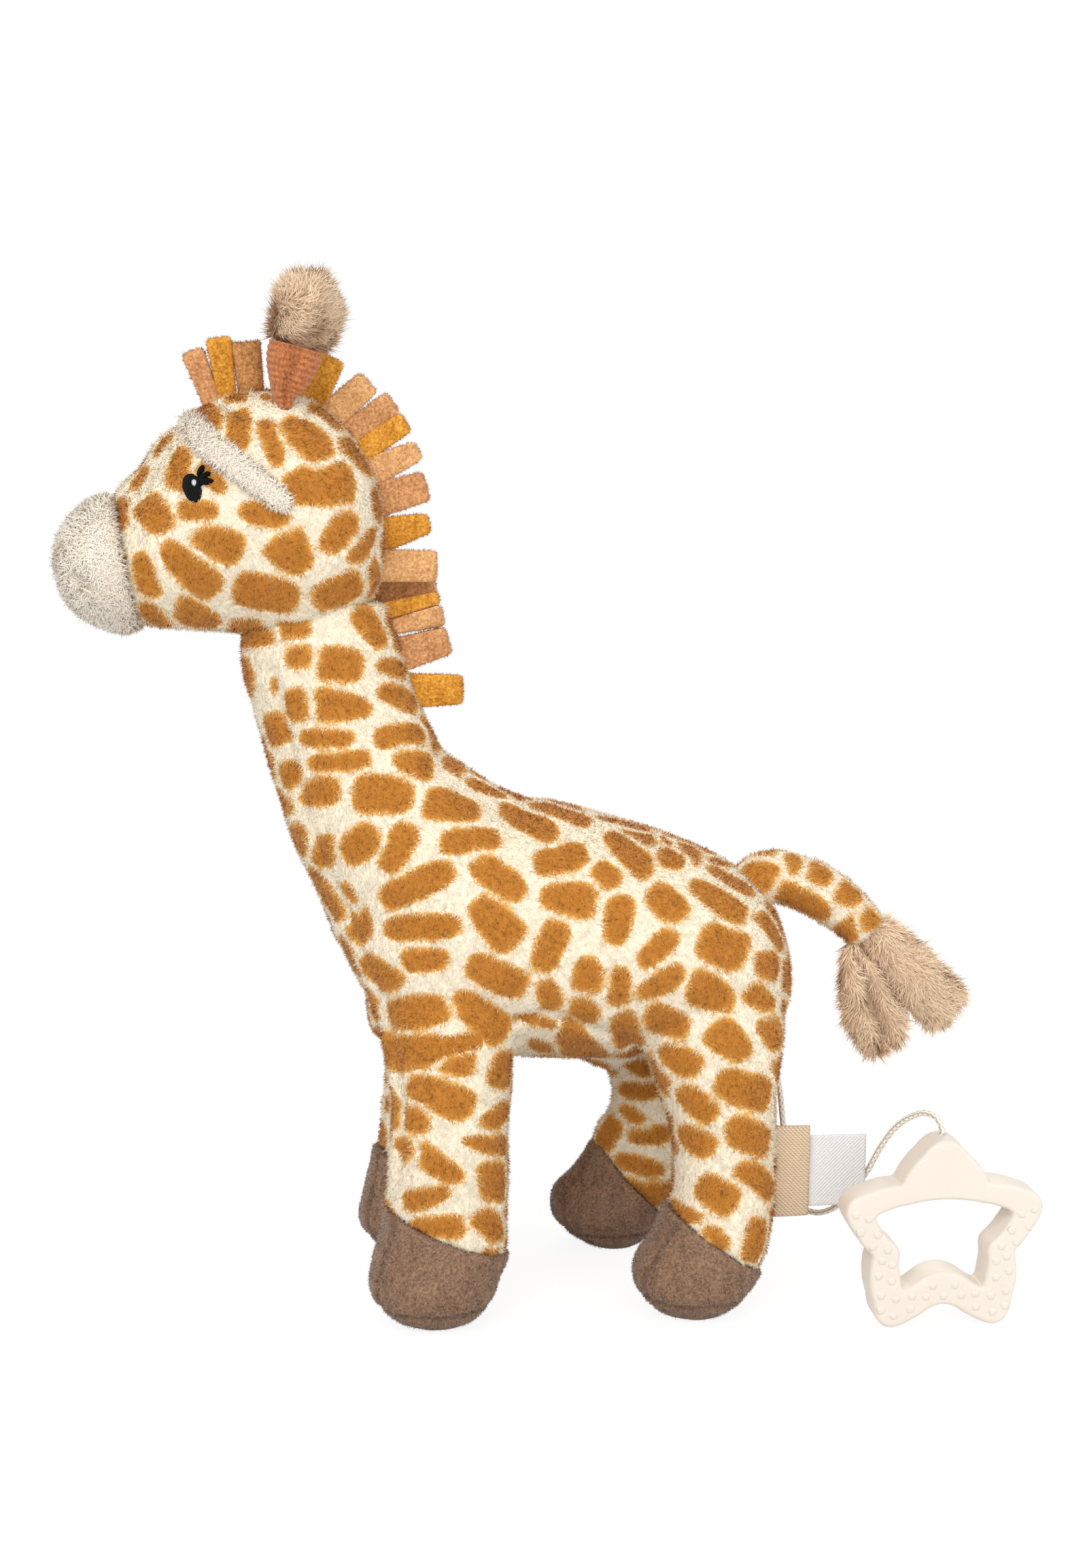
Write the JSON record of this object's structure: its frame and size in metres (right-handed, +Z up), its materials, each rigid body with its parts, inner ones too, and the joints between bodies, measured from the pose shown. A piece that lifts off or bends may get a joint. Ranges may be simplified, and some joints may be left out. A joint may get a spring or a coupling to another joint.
{
  "type": "plush giraffe",
  "caption": "Standing plush giraffe with looped ribbon mane, horns, tail tuft and a pull-cord musical movement with a star-shaped ring handle.",
  "frame": {"origin": "on the floor, under the middle of the toy and its pull star", "axes": "+Z up, -X the way the giraffe looks, -Y its left side"},
  "size_m": [0.2796, 0.0982, 0.3004],
  "materials": {
    "printed_plush": "short printed pile",
    "cream_pile": "long cream pile",
    "beige_pile": "long beige pile",
    "hoof_velour": "short velour",
    "rust_rib_cloth": "ribbed cloth",
    "ribbon_mustard": "velour ribbon",
    "ribbon_apricot": "velour ribbon",
    "ribbon_rose": "velour ribbon",
    "ribbon_tan": "velour ribbon",
    "eye_thread": "satin stitch",
    "woven_tape": "twill weave",
    "satin_tape": "satin",
    "star_silicone": "matt silicone",
    "cord_braid": "braided",
    "case_plastic": "moulded",
    "nylon": "moulded",
    "brass": "machined",
    "steel": "brushed"
  },
  "bodies": {
    "giraffe": {"torso": "printed_plush", "neck": "printed_plush", "head": "printed_plush", "leg_front_left": "printed_plush", "leg_front_right": "printed_plush", "leg_hind_left": "printed_plush", "leg_hind_right": "printed_plush", "muzzle": "cream_pile", "brow_left": "cream_pile", "brow_right": "cream_pile", "hoof_front_left": "hoof_velour", "hoof_front_right": "hoof_velour", "hoof_hind_left": "hoof_velour", "hoof_hind_right": "hoof_velour", "horn_tip_left": "beige_pile", "horn_tip_right": "beige_pile", "horn_stem_left": "rust_rib_cloth", "horn_stem_right": "rust_rib_cloth", "eye_left": "eye_thread", "eye_right": "eye_thread", "mane_loop_01": "ribbon_rose", "mane_loop_02": "ribbon_mustard", "mane_loop_03": "ribbon_tan", "mane_loop_04": "ribbon_mustard", "mane_loop_05": "ribbon_apricot", "mane_loop_06": "ribbon_rose", "mane_loop_07": "ribbon_mustard", "mane_loop_08": "ribbon_apricot", "mane_loop_09": "ribbon_rose", "mane_loop_10": "ribbon_mustard", "mane_loop_11": "ribbon_apricot", "mane_loop_12": "ribbon_rose", "mane_loop_13": "ribbon_mustard", "mane_loop_14": "ribbon_apricot", "mane_loop_15": "ribbon_rose", "mane_loop_16": "ribbon_mustard", "woven_label": "woven_tape", "care_label": "satin_tape", "pull_cord": "cord_braid", "cord_inner": "cord_braid", "cord_eyelet": "case_plastic", "case_base": "case_plastic", "case_cover": "case_plastic", "case_screw_1": "steel", "case_screw_2": "steel", "bedplate": "brass", "comb": "steel", "comb_screw_1": "steel", "comb_screw_2": "steel"},
    "tail": {"tail": "printed_plush", "tail_tuft_back": "beige_pile", "tail_tuft_front": "beige_pile"},
    "pull_handle": {"pull_star": "star_silicone"},
    "spool": {"cord_spool": "nylon", "cord_winding": "cord_braid", "mainspring": "steel"},
    "drive": {"drive_gear": "brass", "click_leaf": "steel"},
    "drum": {"pin_drum": "brass"},
    "governor": {"governor_fan": "nylon"}
  },
  "joints": [
    {"name": "pull_draw", "type": "slide", "parent": "giraffe", "child": "pull_handle", "axis": [1, 0, 0], "range_m": [0, 0.25], "stiffness_N_per_m": 6, "deforming": ["pull_cord"]},
    {"name": "spool_turn", "type": "hinge", "parent": "giraffe", "child": "spool", "pos_m": [-0.00751, 0.00241, 0.11], "axis": [0, 1, 0], "range_deg": [-1500, 0]},
    {"name": "drum_spin", "type": "hinge", "parent": "giraffe", "child": "drum", "pos_m": [0.00542, 0.01641, 0.10735], "axis": [0, 1, 0], "continuous": true},
    {"name": "drive_turn", "type": "hinge", "parent": "giraffe", "child": "drive", "pos_m": [-0.00751, 0.00841, 0.11], "axis": [0, 1, 0], "continuous": true},
    {"name": "governor_spin", "type": "hinge", "parent": "giraffe", "child": "governor", "pos_m": [0.01052, 0.00841, 0.11618], "axis": [0, 1, 0], "continuous": true},
    {"name": "tail_swing", "type": "hinge", "parent": "giraffe", "child": "tail", "pos_m": [0.06299, 0.00241, 0.121], "axis": [0, 0, 1], "range_deg": [-35, 35], "stiffness_Nm_per_rad": 0.01}
  ],
  "couplings": [
    {"joint": "spool_turn", "follows": "pull_draw", "rad_per_m": -104.71},
    {"joint": "drive_turn", "follows": "drum_spin", "ratio": -0.375},
    {"joint": "governor_spin", "follows": "drum_spin", "ratio": -3.25}
  ]
}
